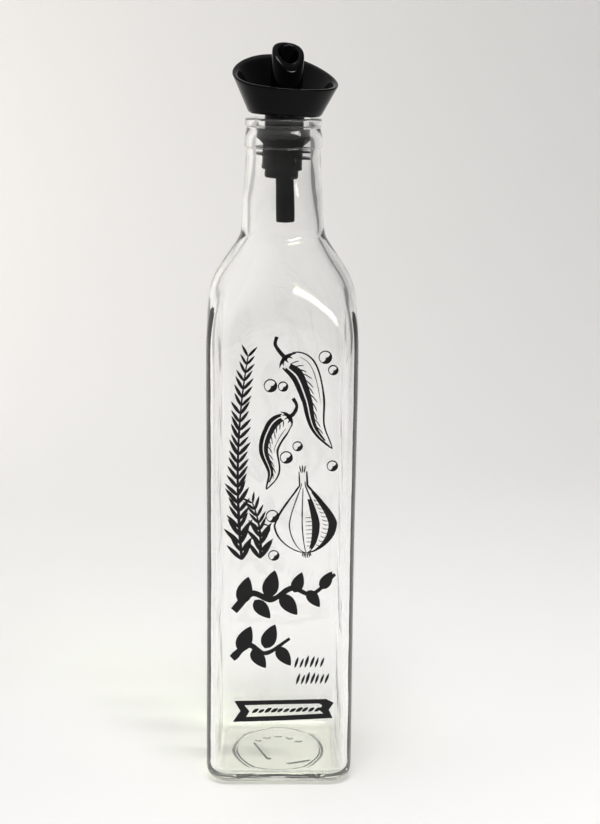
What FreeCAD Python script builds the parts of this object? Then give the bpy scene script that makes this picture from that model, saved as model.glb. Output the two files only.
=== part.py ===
import FreeCAD, Part
import os
from math import atan2, cos, exp, hypot, log, pi, radians, sin, sqrt, tan

from FreeCAD import Vector

# A square glass oil bottle with a finned pourer pushed into its neck.
# Millimetres, +Z up, origin at the centre of the foot, front panel facing -Y.

# ---- driving dimensions: the glass body ----
body_width = 59.0           # across the flats
body_corner = 9.5           # corner radius in plan
body_wall = 3.3
base_thick = 3.0            # glass under the inside floor
heel = 5.2                  # radius between the foot and the side walls
inside_heel = 4.0           # radius between the inside floor and walls
foot_side = 5.8             # flat of the foot beside the oval hollow under it, left and right
foot_front = 1.8            # the same at the front and back
pushup_rise = 0.9
pushup_round = 1.2

# ---- the shoulder and neck ----
neck_length = 33.9          # from the collar down to the shoulder cone
shoulder_slope = 0.675      # millimetres outwards for each millimetre down
shoulder_blend = 14.0       # power that rounds the cone into the flats, higher is sharper
shoulder_reach = 42.0       # how far below the cone's lower end the flats begin to draw in
shoulder_wall = 3.4
neck_slope = 0.064
neck_soften = 0.45          # how softly the neck runs into the shoulder
neck_wall = 3.3             # at the collar
neck_inside_slope = 0.076

# ---- the finish: collar, groove and lip ----
glass_height = 265.0
bore_r = 10.8
bore_length = 18.8          # straight bore from the lip down
bore_flare = 0.9            # rounding of the lip's inside edge
bore_step = 0.1             # the cavity is this much wider than the bore where they meet
finish_wall = 3.55          # glass round the bore, in the groove and at the neck's top
lip_proud = 0.65            # how far the lip stands out from the groove
lip_height = 3.2
lip_widest = 0.45           # share of its height at which the lip is widest
lip_top_in = 0.9            # how far the lip's top edge is drawn in
groove_height = 1.0
collar_proud = 0.75
collar_height = 7.0
collar_straight = 3.2
collar_bulge = 0.2          # how far the rounded part has come in half way up
collar_round = 0.5

# ---- the black pourer: drip cup, spout and stem ----
lean = 2.8                  # the whole pourer leans to the right in the neck, degrees
lean_depth = 7.5            # the point it leans about, below the lip
head_turn = 11.0            # the spout's mouth is turned this far to the right, degrees
cup_gap = 1.0               # between the lip and the cup, on the axis
cup_foot_r = 13.9
cup_flare = 26.5            # the cup's side from the vertical, degrees
cup_wall = 1.9
cup_floor = 2.2
cup_round = 0.8
cup_low = 10.5              # rim height above the cup's underside, at the front
cup_mid = 13.4              # on the axis
cup_high = 22.8             # at the back
rim_round = 0.75
spout_r = 6.2
spout_wall = 2.2
spout_low = 16.6            # mouth height above the cup's underside, at its front lip
spout_mid = 24.0
spout_high = 27.6
spout_round = 0.6
stem_r = 7.7

# ---- the soft finned plug and its tube ----
plug_top = 4.3              # the plug's top below the lip
plug_fit = 0.12             # radial clearance in the bore
band_height = 3.7           # the plug's wide band, then a cone down to the core
band_cone = 2.2
band_round = 0.6
core_r = 7.9
core_length = 15.5          # from the plug's top down
tip_r = 6.6
tip_length = 3.1
tip_round = 1.1
fin_depths = (8.2, 10.8)    # fins below the plug's top
fin_thick = 0.9
fin_edge = 0.7              # thickness at the edge, as a share of the root's
fin_reach = 1.0             # how far a fin is drawn past the bore before it is trimmed
fin_cup = 6.0               # the fins' edges are bent up by the bore, degrees
fin_tilt = 3.0              # and tip over a little more than the plug, degrees
tube_r = 3.55
tube_wall = 1.05
tube_length = 17.1          # below the plug's tip
tube_offset = 0.6           # the tube's axis, right of the bottle's axis at the plug's tip
tube_lean = -1.4            # degrees
tube_fit = 0.05
tube_recess = 0.6           # the tube's top below the plug's top
tube_round = 0.5

# ---- how finely the shaped glass is drawn ----
FLAT_STEPS = 4
CORNER_STEPS = 6
RING_STEP = 3.5             # height between sections of the shoulder and neck
PAST = 3.0                  # how far solids that are joined or cut run past each other

# ---- derived sizes and places ----
body_half = body_width / 2
neck_top_r = bore_r + finish_wall
groove_r = neck_top_r
lip_r = groove_r + lip_proud
collar_r = neck_top_r + collar_proud
collar_top_z = glass_height - lip_height - groove_height
collar_z = collar_top_z - collar_height
cone_z = collar_z - neck_length
cone_r = neck_top_r + neck_slope * neck_length
shoulder_z = cone_z - (body_half - cone_r) / shoulder_slope
lean_z = glass_height - lean_depth
bore_end_z = glass_height - bore_length
cup_z = glass_height + cup_gap
plug_z = glass_height - plug_top
tip_z = plug_z - core_length - tip_length
tube_z = tip_z - tube_length
AXIS = Vector(0, 0, 1)
SIDEWAYS = Vector(0, 1, 0)


# ---------------------------------------------------------------- small helpers

def revolved(outline):
    """Solid of revolution of a closed outline of (radius, height) points and arcs."""
    edges = []
    here = None
    for item in outline:
        points = [Vector(r, 0, z) for r, z in item]
        if here is not None and (points[0] - here).Length > 1e-9:
            edges.append(Part.makeLine(here, points[0]))
        if len(points) == 3:
            edges.append(Part.Arc(*points).toShape())
        here = points[-1]
    edges.append(Part.makeLine(here, Vector(outline[0][0][0], 0, outline[0][0][1])))
    return Part.Face(Part.Wire(edges)).revolve(Vector(0, 0, 0), AXIS, 360)


def cylinder(r, low, high):
    """Upright cylinder on the bottle's axis, between two heights."""
    return Part.makeCylinder(r, high - low, Vector(0, 0, low))


def rounded_corner(r, z, radius, below):
    """Arc that rounds an outer corner at (r, z); below says that the solid lies under it."""
    side = -1 if below else 1
    bend = radius * (1 - sqrt(0.5))
    ends = [(r, z + side * radius), (r - bend, z + side * bend), (r - radius, z)]
    return ends if below else ends[::-1]


def leaned(shape):
    """The pourer's and plug's lean in the neck."""
    shape = shape.copy()
    shape.rotate(Vector(0, 0, lean_z), SIDEWAYS, lean)
    return shape


# ---------------------------------------------------------------- shaped glass

def square_ring(z, half, corner):
    """Rounded square of four lines and four arcs, from the lower end of its +X flat."""
    reach = half - corner
    bend = corner * sqrt(0.5)
    edges = []
    for quarter in range(4):
        line = Part.makeLine(Vector(half, -reach, z), Vector(half, reach, z))
        arc = Part.Arc(Vector(half, reach, z), Vector(reach + bend, reach + bend, z),
                       Vector(reach, half, z)).toShape()
        for edge in (line, arc):
            edge.rotate(Vector(0, 0, 0), AXIS, 90 * quarter)
            edges.append(edge)
    return Part.Wire(edges)


def square_rays(half, corner):
    """Polar angle, radius and distance along of points round a rounded square."""
    reach = half - corner
    flat_step = 2 * reach / FLAT_STEPS
    corner_step = pi / 2 / CORNER_STEPS
    rays = []
    along = 0.0
    for quarter in range(4):
        turn = quarter * pi / 2
        for step in range(FLAT_STEPS):
            y = -reach + flat_step * step
            rays.append((turn + atan2(y, half), hypot(half, y), along))
            along += flat_step
        for step in range(CORNER_STEPS):
            x = reach + corner * cos(corner_step * step)
            y = reach + corner * sin(corner_step * step)
            rays.append((turn + atan2(y, x), hypot(x, y), along))
            along += corner * corner_step
    return rays, along


def drawn_ring(z, half, corner, throat):
    """The rounded square drawn in to a circle of radius throat, in the same eight edges."""
    rays, length = square_rays(half, corner)
    points = []
    for angle, reach, along in rays:
        r = (reach ** -shoulder_blend + throat ** -shoulder_blend) ** (-1 / shoulder_blend)
        points.append(Vector(r * cos(angle), r * sin(angle), z))
    knots = [along for angle, reach, along in rays] + [length]
    curve = Part.BSplineCurve()
    curve.interpolate(Points=points, PeriodicFlag=True, Parameters=knots)
    edges = []
    for quarter in range(4):
        start = quarter * (FLAT_STEPS + CORNER_STEPS)
        bend = start + FLAT_STEPS
        edges.append(curve.toShape(knots[start], knots[bend]))
        edges.append(curve.toShape(knots[bend], knots[bend + CORNER_STEPS]))
    return Part.Wire(edges)


def soft_max(a, b):
    """The larger of two radii, with the crossing rounded."""
    top = max(a, b)
    return top + neck_soften * log(exp((a - top) / neck_soften) + exp((b - top) / neck_soften))


def outer_throat(z):
    """Radius of the round neck and the shoulder cone at height z."""
    neck = neck_top_r + neck_slope * (collar_z - z)
    cone = body_half + shoulder_slope * (shoulder_z - z)
    return soft_max(neck, cone)


def inner_throat(z):
    """The same for the inside of the glass."""
    neck = neck_top_r - neck_wall + neck_inside_slope * (collar_z - z)
    cone = body_half + shoulder_slope * (shoulder_z - z) - shoulder_wall * hypot(1, shoulder_slope)
    return soft_max(neck, cone)


def square_block(half, corner, low, high, foot_round):
    """Upright rounded-square block with a rounded foot."""
    block = Part.Face(square_ring(low, half, corner)).extrude(Vector(0, 0, high - low))
    foot = [edge for edge in block.Edges if edge.BoundBox.ZMax < low + 0.01]
    return block.makeFillet(foot_round, foot)


def neck_sections(half, corner, throat, low, high):
    """Sections from the square body up through the shoulder into the round neck."""
    count = round((high - low) / RING_STEP)
    heights = [low + (high - low) * (i + 1) / count for i in range(count)]
    rings = [square_ring(low, half, corner)]
    rings += [drawn_ring(z, half, corner, throat(z)) for z in heights]
    return rings


def outer_glass():
    """The solid outside of the body, shoulder and neck, up into the collar."""
    wall_z = shoulder_z - shoulder_reach
    body = square_block(body_half, body_corner, 0, wall_z, heel)
    rings = neck_sections(body_half, body_corner, outer_throat, wall_z, collar_z + PAST)
    return body.fuse(Part.makeLoft(rings, True, False))


def cavity():
    """The inside of the bottle, from its floor to the straight bore and out of the lip."""
    half = body_half - body_wall
    corner = body_corner - body_wall
    wall_z = shoulder_z - shoulder_reach
    room = square_block(half, corner, base_thick, wall_z, inside_heel)
    rings = neck_sections(half, corner, inner_throat, wall_z, bore_end_z - PAST)
    rings.append(drawn_ring(bore_end_z, half, corner, bore_r + bore_step))
    rings.append(drawn_ring(bore_end_z + PAST, half, corner, bore_r - PAST / 2))
    neck = Part.makeLoft(rings, True, False)
    bore = cylinder(bore_r, bore_end_z - PAST, glass_height + PAST)
    mouth = Part.makeCone(bore_r - bore_flare, bore_r + 2 * bore_flare, 3 * bore_flare,
                          Vector(0, 0, glass_height - 2 * bore_flare))
    return room.fuse(neck).fuse(bore).fuse(mouth)


def finish():
    """The collar, groove and lip, solid through to the axis."""
    groove_z = collar_top_z + groove_height
    lip_mid = groove_z + lip_widest * lip_height
    bend_z = collar_z + collar_straight
    hidden_r = bore_r + finish_wall / 3
    return revolved([
        [(0, collar_z - PAST)],
        [(hidden_r, collar_z - PAST)],
        [(hidden_r, collar_z)],
        rounded_corner(collar_r, collar_z, collar_round, below=False),
        [(collar_r, bend_z)],
        [(collar_r, bend_z), (collar_r - collar_bulge, (bend_z + collar_top_z) / 2), (groove_r, collar_top_z)],
        [(groove_r, groove_z)],
        [(groove_r, groove_z), (lip_r, lip_mid), (lip_r - lip_top_in, glass_height)],
        [(0, glass_height)],
    ])


def pushup():
    """The oval hollow under the foot."""
    long_r = body_half - heel - foot_front
    short_r = body_half - heel - foot_side
    oval = Part.Ellipse(Vector(0, long_r, -PAST), Vector(short_r, 0, -PAST), Vector(0, 0, -PAST))
    block = Part.Face(Part.Wire(oval.toShape())).extrude(Vector(0, 0, PAST + pushup_rise))
    top_edges = [edge for edge in block.Edges if edge.BoundBox.ZMin > 0]
    return block.makeFillet(pushup_round, top_edges)


def bottle():
    """The glass bottle, one piece."""
    return outer_glass().fuse(finish()).cut(cavity()).cut(pushup())


# ---------------------------------------------------------------- pourer

def scoop(front_y, front, mid, back_y, back):
    """Block above a dished cut through the heights front, mid and back at -Y, 0 and +Y."""
    side = -2 * back_y
    first = Vector(side, front_y, front)
    last = Vector(side, back_y, back)
    arc = Part.Arc(first, Vector(side, 0, mid), last).toShape()
    lead_in = first - arc.tangentAt(arc.FirstParameter) * back_y
    lead_out = last + arc.tangentAt(arc.LastParameter) * back_y
    ceiling = lead_out.z + back_y
    corners = [Vector(side, lead_out.y, ceiling), Vector(side, lead_in.y, ceiling)]
    outline = [
        Part.makeLine(lead_in, first),
        arc,
        Part.makeLine(last, lead_out),
        Part.makeLine(lead_out, corners[0]),
        Part.makeLine(corners[0], corners[1]),
        Part.makeLine(corners[1], lead_in),
    ]
    return Part.Face(Part.Wire(outline)).extrude(Vector(4 * back_y, 0, 0))


def cup():
    """The flared drip cup with its dished rim."""
    flare = tan(radians(cup_flare))
    tall = cup_high + 2 * PAST
    side_step = cup_wall / cos(radians(cup_flare))
    outer = Part.makeCone(cup_foot_r, cup_foot_r + flare * tall, tall)
    outer = outer.makeFillet(cup_round, [edge for edge in outer.Edges if edge.BoundBox.ZMax < 0.01])
    inside_r = cup_foot_r + flare * cup_floor - side_step
    inner = Part.makeCone(inside_r, inside_r + flare * tall, tall, Vector(0, 0, cup_floor))
    rim_cut = scoop(-cup_foot_r - flare * cup_low, cup_low, cup_mid,
                    cup_foot_r + flare * cup_high, cup_high)
    shell = outer.cut(inner).cut(rim_cut)
    rim = [edge for edge in shell.Edges if edge.BoundBox.ZMin > cup_floor + 1]
    return shell.makeFillet(min(rim_round, 0.45 * cup_wall), rim)


def spout():
    """The upright spout with its slanting, dished mouth; solid until it is bored."""
    pipe = Part.makeCylinder(spout_r, spout_high + PAST, Vector(0, 0, cup_floor / 2))
    return pipe.cut(scoop(-spout_r, spout_low, spout_mid, spout_r, spout_high))


def pourer():
    """Cup, spout and stem in one moulding, bored right through."""
    stem = Part.makeCylinder(stem_r, cup_z - plug_z + cup_floor / 2, Vector(0, 0, plug_z - cup_z))
    depth = cup_z - plug_z + PAST
    bore = Part.makeCylinder(spout_r - spout_wall, depth + spout_high + 2 * PAST, Vector(0, 0, -depth))
    head = cup().fuse(stem).fuse(spout()).cut(bore)
    mouth = [edge for edge in head.Edges if edge.BoundBox.ZMin > spout_low - 1
             and edge.BoundBox.ZMax > spout_high - spout_r]
    head = head.makeFillet(min(spout_round, 0.4 * spout_wall), mouth)
    head.translate(Vector(0, 0, cup_z))
    head.rotate(Vector(0, 0, 0), AXIS, head_turn)
    return leaned(head)


# ---------------------------------------------------------------- plug and tube

def along_tube(shape):
    """Puts an upright shape onto the tube's own axis."""
    shape = shape.copy()
    shape.translate(Vector(tube_offset, 0, 0))
    shape.rotate(Vector(tube_offset, 0, tip_z), SIDEWAYS, tube_lean)
    return shape


def fin(depth):
    """One thin round fin, its edge bent up by the bore."""
    root_r = core_r - fin_thick / 2
    edge_r = bore_r + fin_reach
    rise = (edge_r - core_r) * tan(radians(fin_cup))
    root = plug_z - depth
    disc = revolved([
        [(0, root)],
        [(root_r, root)],
        [(edge_r, root + rise)],
        [(edge_r, root + rise + fin_thick * fin_edge)],
        [(root_r, root + fin_thick)],
        [(0, root + fin_thick)],
    ])
    disc.rotate(Vector(0, 0, root), SIDEWAYS, fin_tilt)
    return disc


def plug():
    """The soft stopper: wide band, core, tip and fins, trimmed to the bore."""
    band_low = plug_z - band_height
    core_low = plug_z - core_length
    body = revolved([
        [(0, tip_z)],
        rounded_corner(tip_r, tip_z, tip_round, below=False),
        [(tip_r, core_low)],
        rounded_corner(core_r, core_low, tip_round / 2, below=False),
        [(core_r, band_low - band_cone)],
        [(bore_r, band_low)],
        rounded_corner(bore_r, plug_z, band_round, below=True),
        [(0, plug_z)],
    ])
    for depth in fin_depths:
        body = body.fuse(fin(depth))
    body = leaned(body)
    body = body.common(cylinder(bore_r - plug_fit, tip_z - PAST, plug_z + PAST))
    socket = along_tube(cylinder(tube_r + tube_fit, tip_z - PAST, plug_z + PAST))
    return body.cut(socket)


def tube():
    """The tube that hangs from the plug into the neck."""
    pipe = cylinder(tube_r, tube_z, plug_z - tube_recess)
    pipe = pipe.makeFillet(tube_round, [edge for edge in pipe.Edges if edge.BoundBox.ZMax < tube_z + 0.01])
    return along_tube(pipe.cut(cylinder(tube_r - tube_wall, tube_z - PAST, plug_z)))


# ---------------------------------------------------------------- output

def write_nodes():
    """One STEP file for each piece."""
    os.makedirs("parts", exist_ok=True)
    nodes = {"bottle": bottle(), "pourer": pourer(), "plug": plug(), "tube": tube()}
    for node, shape in nodes.items():
        box = shape.BoundBox
        print(node, len(shape.Solids), shape.isValid(), "volume", round(shape.Volume, 1),
              "box", [round(v, 2) for v in (box.XMin, box.YMin, box.ZMin, box.XMax, box.YMax, box.ZMax)])
        shape.exportStep(os.path.join("parts", node + ".step"))


write_nodes()
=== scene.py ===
from math import atan2, cos, hypot, pi, radians, sin, tan

import bmesh
import bpy
import numpy as np
from mathutils import Matrix, Quaternion, Vector


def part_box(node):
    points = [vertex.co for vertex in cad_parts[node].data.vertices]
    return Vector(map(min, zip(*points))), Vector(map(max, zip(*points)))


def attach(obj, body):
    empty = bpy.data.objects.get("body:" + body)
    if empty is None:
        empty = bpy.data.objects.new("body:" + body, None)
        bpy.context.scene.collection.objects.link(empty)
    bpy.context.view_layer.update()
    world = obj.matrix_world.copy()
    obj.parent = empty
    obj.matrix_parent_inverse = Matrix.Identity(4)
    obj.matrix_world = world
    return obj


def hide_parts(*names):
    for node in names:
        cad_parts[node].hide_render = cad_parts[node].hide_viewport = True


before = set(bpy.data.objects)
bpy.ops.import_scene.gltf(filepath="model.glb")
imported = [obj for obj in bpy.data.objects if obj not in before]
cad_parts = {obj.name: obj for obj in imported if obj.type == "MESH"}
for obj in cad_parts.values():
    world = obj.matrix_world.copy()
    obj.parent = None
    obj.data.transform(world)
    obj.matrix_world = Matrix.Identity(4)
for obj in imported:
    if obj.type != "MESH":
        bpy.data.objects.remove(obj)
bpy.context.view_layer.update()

# A square glass oil bottle, empty, with a black pourer pushed into its neck.
# Lengths are millimetres until a mesh is made, and angles are degrees; the front panel faces -Y.

MM = 0.001
glass_low, glass_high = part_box("bottle")

# ---- the glass body ----
body_inset = 0.05           # the flats stay this far inside the solid's box
body_half = (glass_high.x - glass_low.x) / 2 / MM - body_inset
body_corner = 9.5           # corner radius in plan
body_wall = 3.3
base_thick = 3.0            # height of the inside floor's edge above the foot
floor_dome = 0.7            # rise of the inside floor to its middle
heel = 5.2                  # radius between the foot and the side walls
inside_heel = 4.0           # radius between the inside floor and walls
foot_side = 5.8             # flat of the foot beside the oval hollow under it, left and right
foot_front = 1.8            # the same at the front and back
pushup_rise = 0.9           # depth of the hollow near its edge
pushup_dome = 0.5           # and how much deeper it is in the middle
pushup_roll = 0.6           # how far the hollow's rounded edge runs out over the foot
panel_waist = 0.25          # how far the flats draw in half way up
waist_end = 20              # the flats are full again this far below the shoulder

# ---- the glass's unevenness: how high, and how long its waves are along the bottle ----
mould_ripple = 0.03         # outside, against the mould; the skin is held in by as much
mould_ripple_wave = 45
blown_ripple = 0.2          # inside, where nothing held the glass
blown_ripple_wave = 34
floor_ripple = 0.12
floor_ripple_wave = 25

# ---- the finish: lip, groove and collar ----
glass_height = glass_high.z / MM
bore_r = 10.8
bore_length = 18.8          # from the lip down
bore_margin = 2.5           # the bore begins to widen this far above its lower end
bore_ease = 16              # and has run into the neck's inside this much further down
finish_wall = 3.55          # glass round the bore, in the groove and at the neck's top
lip_proud = 0.65            # how far the lip stands out from the groove
lip_height = 3.2
lip_widest = 0.45           # share of its height at which the lip is widest
groove_height = 1.0
collar_proud = 0.75
collar_height = 7.0
collar_straight = 3.2       # the part of the collar that is upright

# ---- the neck and shoulder ----
neck_length = 33.9          # from the collar down to the shoulder cone
neck_slope = 0.064          # millimetres outwards for each millimetre down, as the next slopes
neck_inside_slope = 0.076
neck_soften = 0.45          # how softly the neck runs into the shoulder
neck_wall = 3.3             # at the collar
neck_run = 0.8              # the plain neck ends this far below the collar
shoulder_slope = 0.675
shoulder_blend = 14.0       # power that rounds the cone into the flats, higher is sharper
shoulder_reach = 42.0       # how far below the cone's lower end the flats begin to draw in
shoulder_wall = 3.4

# ---- the pourer's head: drip cup, spout and stem ----
lean = 2.8                  # the whole pourer leans to the right in the neck
lean_depth = 7.5            # the point it leans about, below the lip
head_turn = 11.0            # the spout's mouth is turned this far to the right
cup_gap = 1.0               # between the lip and the cup, on the axis
cup_foot_r = 13.9
cup_flare = 26.5            # the cup's side from the vertical
cup_wall = 1.9
cup_floor = 2.2
cup_low = 10.5              # rim height above the cup's underside, at the front
cup_mid = 13.4              # on the axis
cup_high = 22.8             # at the back
cup_skirt = 3               # the cup's lowest part, with its rounded edge
rim_round = 0.95
spout_r = 6.2
spout_wall = 2.2
spout_low = 16.6            # mouth height above the cup's underside, at its front lip
spout_mid = 24.0
spout_high = 27.6
spout_foot = 3              # the spout's lowest part, with the fillet round it
mouth_round = 0.98
mouth_margin = 1.0          # the straight walls stop this far below the mouth's edge
stem_r = 7.7

# ---- the finned plug and its tube ----
plug_top = 4.3              # the plug's top below the lip
plug_fit = 0.12             # radial clearance in the bore
band_height = 3.7           # the plug's wide band, then a cone down to the core
band_cone = 2.2
core_r = 7.9
core_length = 15.5          # from the plug's top down
tip_r = 6.6
tip_length = 3.1
socket_bevel = 0.6          # the plug's ends start this far outside the tube
fin_depths = (8.2, 10.8)    # fins below the plug's top
fin_thick = 0.9
fin_edge = 0.75             # thickness at the edge, as a share of the root's
fin_reach = 0.6             # how far a fin is drawn past the bore before it is squeezed in
fin_cup = 6.0               # the fins' edges are bent up by the bore
fin_tilt = 3.0              # and tip over a little more than the plug
tube_r = 3.55
tube_wall = 1.05
tube_length = 17.1          # below the plug's tip
tube_offset = 0.6           # the tube's axis, right of the bottle's axis at the plug's tip
tube_lean = -1.4
tube_fit = 0.05
tube_recess = 0.6           # the tube's top below the plug's top
tube_ends = 5               # the straight part beside each rounded end

# ---- the print on the front panel ----
print_tilt = 1.0            # the whole print sits turned by this much
print_middle = 108.0        # about this height
smallest_mark, largest_mark = 0.88, 1.08            # sizes of repeated marks, as shares
ink_thick = 0.05
ink_lift = 0.03             # the ink stands this far off the glass

# ---- the stage ----
foot_gap = 0.1              # air left between the paper and the foot
floor_front, floor_half = 1500, 1500                # how far the paper comes forward; half its width
bend_start, bend_r, bend_half = 450, 450, 1100      # where and how it curves up; half its width there
wall_top, wall_half = 1500, 700                     # the backdrop's top; half its width
camera_place = (-9.8, -620, 291.9)
camera_pitch, camera_yaw, camera_roll = 13.02, 1.61, 0.66
camera_lens, camera_sensor = 69.1, 36.0
window_turn = -29           # the right-hand window is turned this far about its aim

# ---- derived sizes and places ----
neck_top_r = bore_r + finish_wall
groove_r = neck_top_r
lip_r = groove_r + lip_proud
collar_r = neck_top_r + collar_proud
collar_top_z = glass_height - lip_height - groove_height
collar_z = collar_top_z - collar_height
cone_z = collar_z - neck_length
cone_r = neck_top_r + neck_slope * neck_length
shoulder_z = cone_z - (body_half - cone_r) / shoulder_slope
bore_end_z = glass_height - bore_length
lean_z = glass_height - lean_depth
cup_z = glass_height + cup_gap
plug_z = glass_height - plug_top
tip_z = plug_z - core_length - tip_length
tube_z = tip_z - tube_length
wall_z = shoulder_z - shoulder_reach
foot_oval = (body_half - heel - foot_side, body_half - heel - foot_front)


# ================================================================ helpers

def hex_colour(code):
    """An sRGB hex colour as linear red, green, blue and alpha."""
    parts = [int(code[i:i + 2], 16) / 255 for i in (1, 3, 5)]
    return [c / 12.92 if c <= 0.04045 else ((c + 0.055) / 1.055) ** 2.4 for c in parts] + [1.0]


def add_node(tree, kind, inputs=None, **settings):
    """Adds a node. inputs maps a socket's name or number to a value or to an output socket."""
    node = tree.nodes.new(kind)
    for name, value in settings.items():
        setattr(node, name, value)
    for key, value in (inputs or {}).items():
        if isinstance(value, bpy.types.NodeSocket):
            tree.links.new(value, node.inputs[key])
        else:
            node.inputs[key].default_value = value
    return node


def new_material(name):
    """An empty material with its output node; returns the material, its tree and the output."""
    material = bpy.data.materials.new(name)
    material.use_nodes = True
    tree = material.node_tree
    tree.nodes.clear()
    return material, tree, add_node(tree, "ShaderNodeOutputMaterial")


def finish_piece(name, mesh, material, node=None):
    """Names a mesh, gives it its material and ties it to the frame."""
    mesh.name = name
    piece = bpy.data.objects.new(name, mesh)
    bpy.context.collection.objects.link(piece)
    mesh.materials.clear()
    mesh.materials.append(material)
    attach(piece, "root")
    if node:
        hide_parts(node)
    return piece


def mesh_of(points, faces):
    """A smooth mesh from points in millimetres; turned inside out if its faces point inwards."""
    mesh = bpy.data.meshes.new("work")
    mesh.from_pydata((np.asarray(points) * MM).tolist(), [], faces)
    mesh.update()
    if sum(face.center.dot(face.normal) * face.area for face in mesh.polygons) < 0:
        mesh.flip_normals()
    mesh.polygons.foreach_set("use_smooth", [True] * len(mesh.polygons))
    return mesh


def skin(rings, poles=None):
    """A closed skin over rings of equally many points.

    With poles, a first and a last point, the ends are fans; without, the last ring joins the first."""
    rings = np.asarray(rings)
    count, around = rings.shape[:2]
    points = rings.reshape(-1, 3)
    spans = count - 1 if poles else count
    faces = []
    for i in range(spans):
        here = i * around
        above = ((i + 1) % count) * around
        for j in range(around):
            k = (j + 1) % around
            faces.append((here + j, here + k, above + k, above + j))
    if poles:
        points = np.vstack([points, poles])
        first = count * around
        top = (count - 1) * around
        for j in range(around):
            k = (j + 1) % around
            faces.append((first, k, j))
            faces.append((first + 1, top + j, top + k))
    return mesh_of(points, faces)


def bent(first, corner, last, t):
    """A point at share t of the bend from first to last, drawn towards the corner."""
    return (1 - t) ** 2 * first + 2 * t * (1 - t) * corner + t * t * last


def softened(corners, steps=4):
    """A path through (x, y, radius) corners, each rounded by about its radius."""
    most = 0.48                 # no rounding takes more than this share of a side
    path = []
    for i, (x, y, radius) in enumerate(corners):
        if radius == 0 or i in (0, len(corners) - 1):
            path.append((x, y))
            continue
        before = np.array(corners[i - 1][:2])
        after = np.array(corners[i + 1][:2])
        here = np.array((x, y))
        back = before - here
        on = after - here
        reach = min(radius, most * np.linalg.norm(back), most * np.linalg.norm(on))
        start = here + back / np.linalg.norm(back) * reach
        end = here + on / np.linalg.norm(on) * reach
        path += [tuple(bent(start, here, end, step / steps)) for step in range(steps + 1)]
    return path


def spread(low, high, count):
    """count evenly spaced values after low, up to high."""
    return [low + (high - low) * (i + 1) / count for i in range(count)]


def tipped(points, degrees_over, height, x=0.0):
    """Points turned about a left-to-right lean: the pivot is at (x, height), tops go to +X."""
    turn = np.array(Matrix.Rotation(radians(degrees_over), 3, "Y"))
    pivot = np.array((x, 0.0, height))
    return (np.asarray(points) - pivot) @ turn.T + pivot


# ================================================================ glass

GLASS_FLAT_STEPS = 18
GLASS_CORNER_STEPS = 22


def square_angles():
    """Directions from the axis to evenly spaced points round the body's rounded square."""
    reach = body_half - body_corner
    angles = []
    for quarter in range(4):
        turn = quarter * pi / 2
        for step in range(GLASS_FLAT_STEPS):
            angles.append(turn + atan2(-reach + 2 * reach * step / GLASS_FLAT_STEPS, body_half))
        for step in range(GLASS_CORNER_STEPS):
            bend = pi / 2 * step / GLASS_CORNER_STEPS
            angles.append(turn + atan2(reach + body_corner * sin(bend), reach + body_corner * cos(bend)))
    return np.array(angles)


ANGLES = square_angles()
AROUND = np.stack([np.cos(ANGLES), np.sin(ANGLES)], axis=1)


def square_reach(angles, half, corner):
    """Distance from the axis to a rounded square, in each direction."""
    folded = np.abs((angles + pi / 4) % (pi / 2) - pi / 4)
    reach = half - corner
    c = np.cos(folded)
    s = np.sin(folded)
    bend = reach * (c + s) + np.sqrt(np.maximum(corner ** 2 - (reach * (c - s)) ** 2, 0))
    return np.where(half * np.tan(folded) <= reach, half / c, bend)


def drawn_in(reach, throat):
    """A square reach drawn in to a round throat."""
    return (reach ** -shoulder_blend + throat ** -shoulder_blend) ** (-1 / shoulder_blend)


def soft_max(a, b):
    """The larger of two radii, with the crossing rounded."""
    top = np.maximum(a, b)
    return top + neck_soften * np.log(np.exp((a - top) / neck_soften) + np.exp((b - top) / neck_soften))


def outer_throat(z):
    """Radius of the round neck and the shoulder cone at height z."""
    neck = neck_top_r + neck_slope * (collar_z - z)
    return soft_max(neck, body_half + shoulder_slope * (shoulder_z - z))


def inner_throat(z):
    """The same for the inside of the glass."""
    neck = neck_top_r - neck_wall + neck_inside_slope * (collar_z - z)
    cone = body_half + shoulder_slope * (shoulder_z - z) - shoulder_wall * hypot(1, shoulder_slope)
    return soft_max(neck, cone)


def waist(z):
    """How far the flats are drawn in at height z: nothing at the heel and under the shoulder."""
    share = np.clip((z - heel) / (shoulder_z - waist_end - heel), 0, 1)
    return panel_waist * np.sin(pi * share) ** 2


def outer_radius(angles, z):
    """The outside of the glass in each direction, from the heel to the collar."""
    half = body_half - waist(z)
    return drawn_in(square_reach(angles, half, body_corner), outer_throat(z))


def ripple(angles, z, seed, height, wave):
    """Gentle unevenness of blown glass: a few waves round the bottle, each winding up or down it."""
    dice = np.random.default_rng(seed)
    waves_round = (1, 2, 3, 4, 6)
    total = np.zeros_like(angles)
    for waves in waves_round:
        phase = dice.uniform(0, 2 * pi)
        pitch = dice.uniform(0.7, 1.6) * wave * dice.choice((-1, 1))
        total += np.sin(waves * angles + 2 * pi * z / pitch + phase)
    return total * height / len(waves_round)


def glass_surface(angles, z):
    """The outside of the blown walls: the moulded form with its gentle unevenness."""
    ends = 12                   # the unevenness dies away over this height at the heel and the collar
    fade = np.clip((z - heel) / ends, 0, 1) * np.clip((collar_z - z) / ends, 0, 1)
    uneven = ripple(angles, z, 11, mould_ripple, mould_ripple_wave) * fade
    return outer_radius(angles, z) - mould_ripple + uneven


def flat_ring(radius, z):
    """One ring of points at a height that may vary round it."""
    heights = np.broadcast_to(z, ANGLES.shape)
    return np.column_stack([AROUND * np.reshape(np.broadcast_to(radius, ANGLES.shape), (-1, 1)), heights])


def mound(off, width, height):
    """A low rounded mound: its height at a distance from its middle line or point."""
    return height * np.clip(1 - (off / width) ** 2, 0, 1) ** 2


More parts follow.
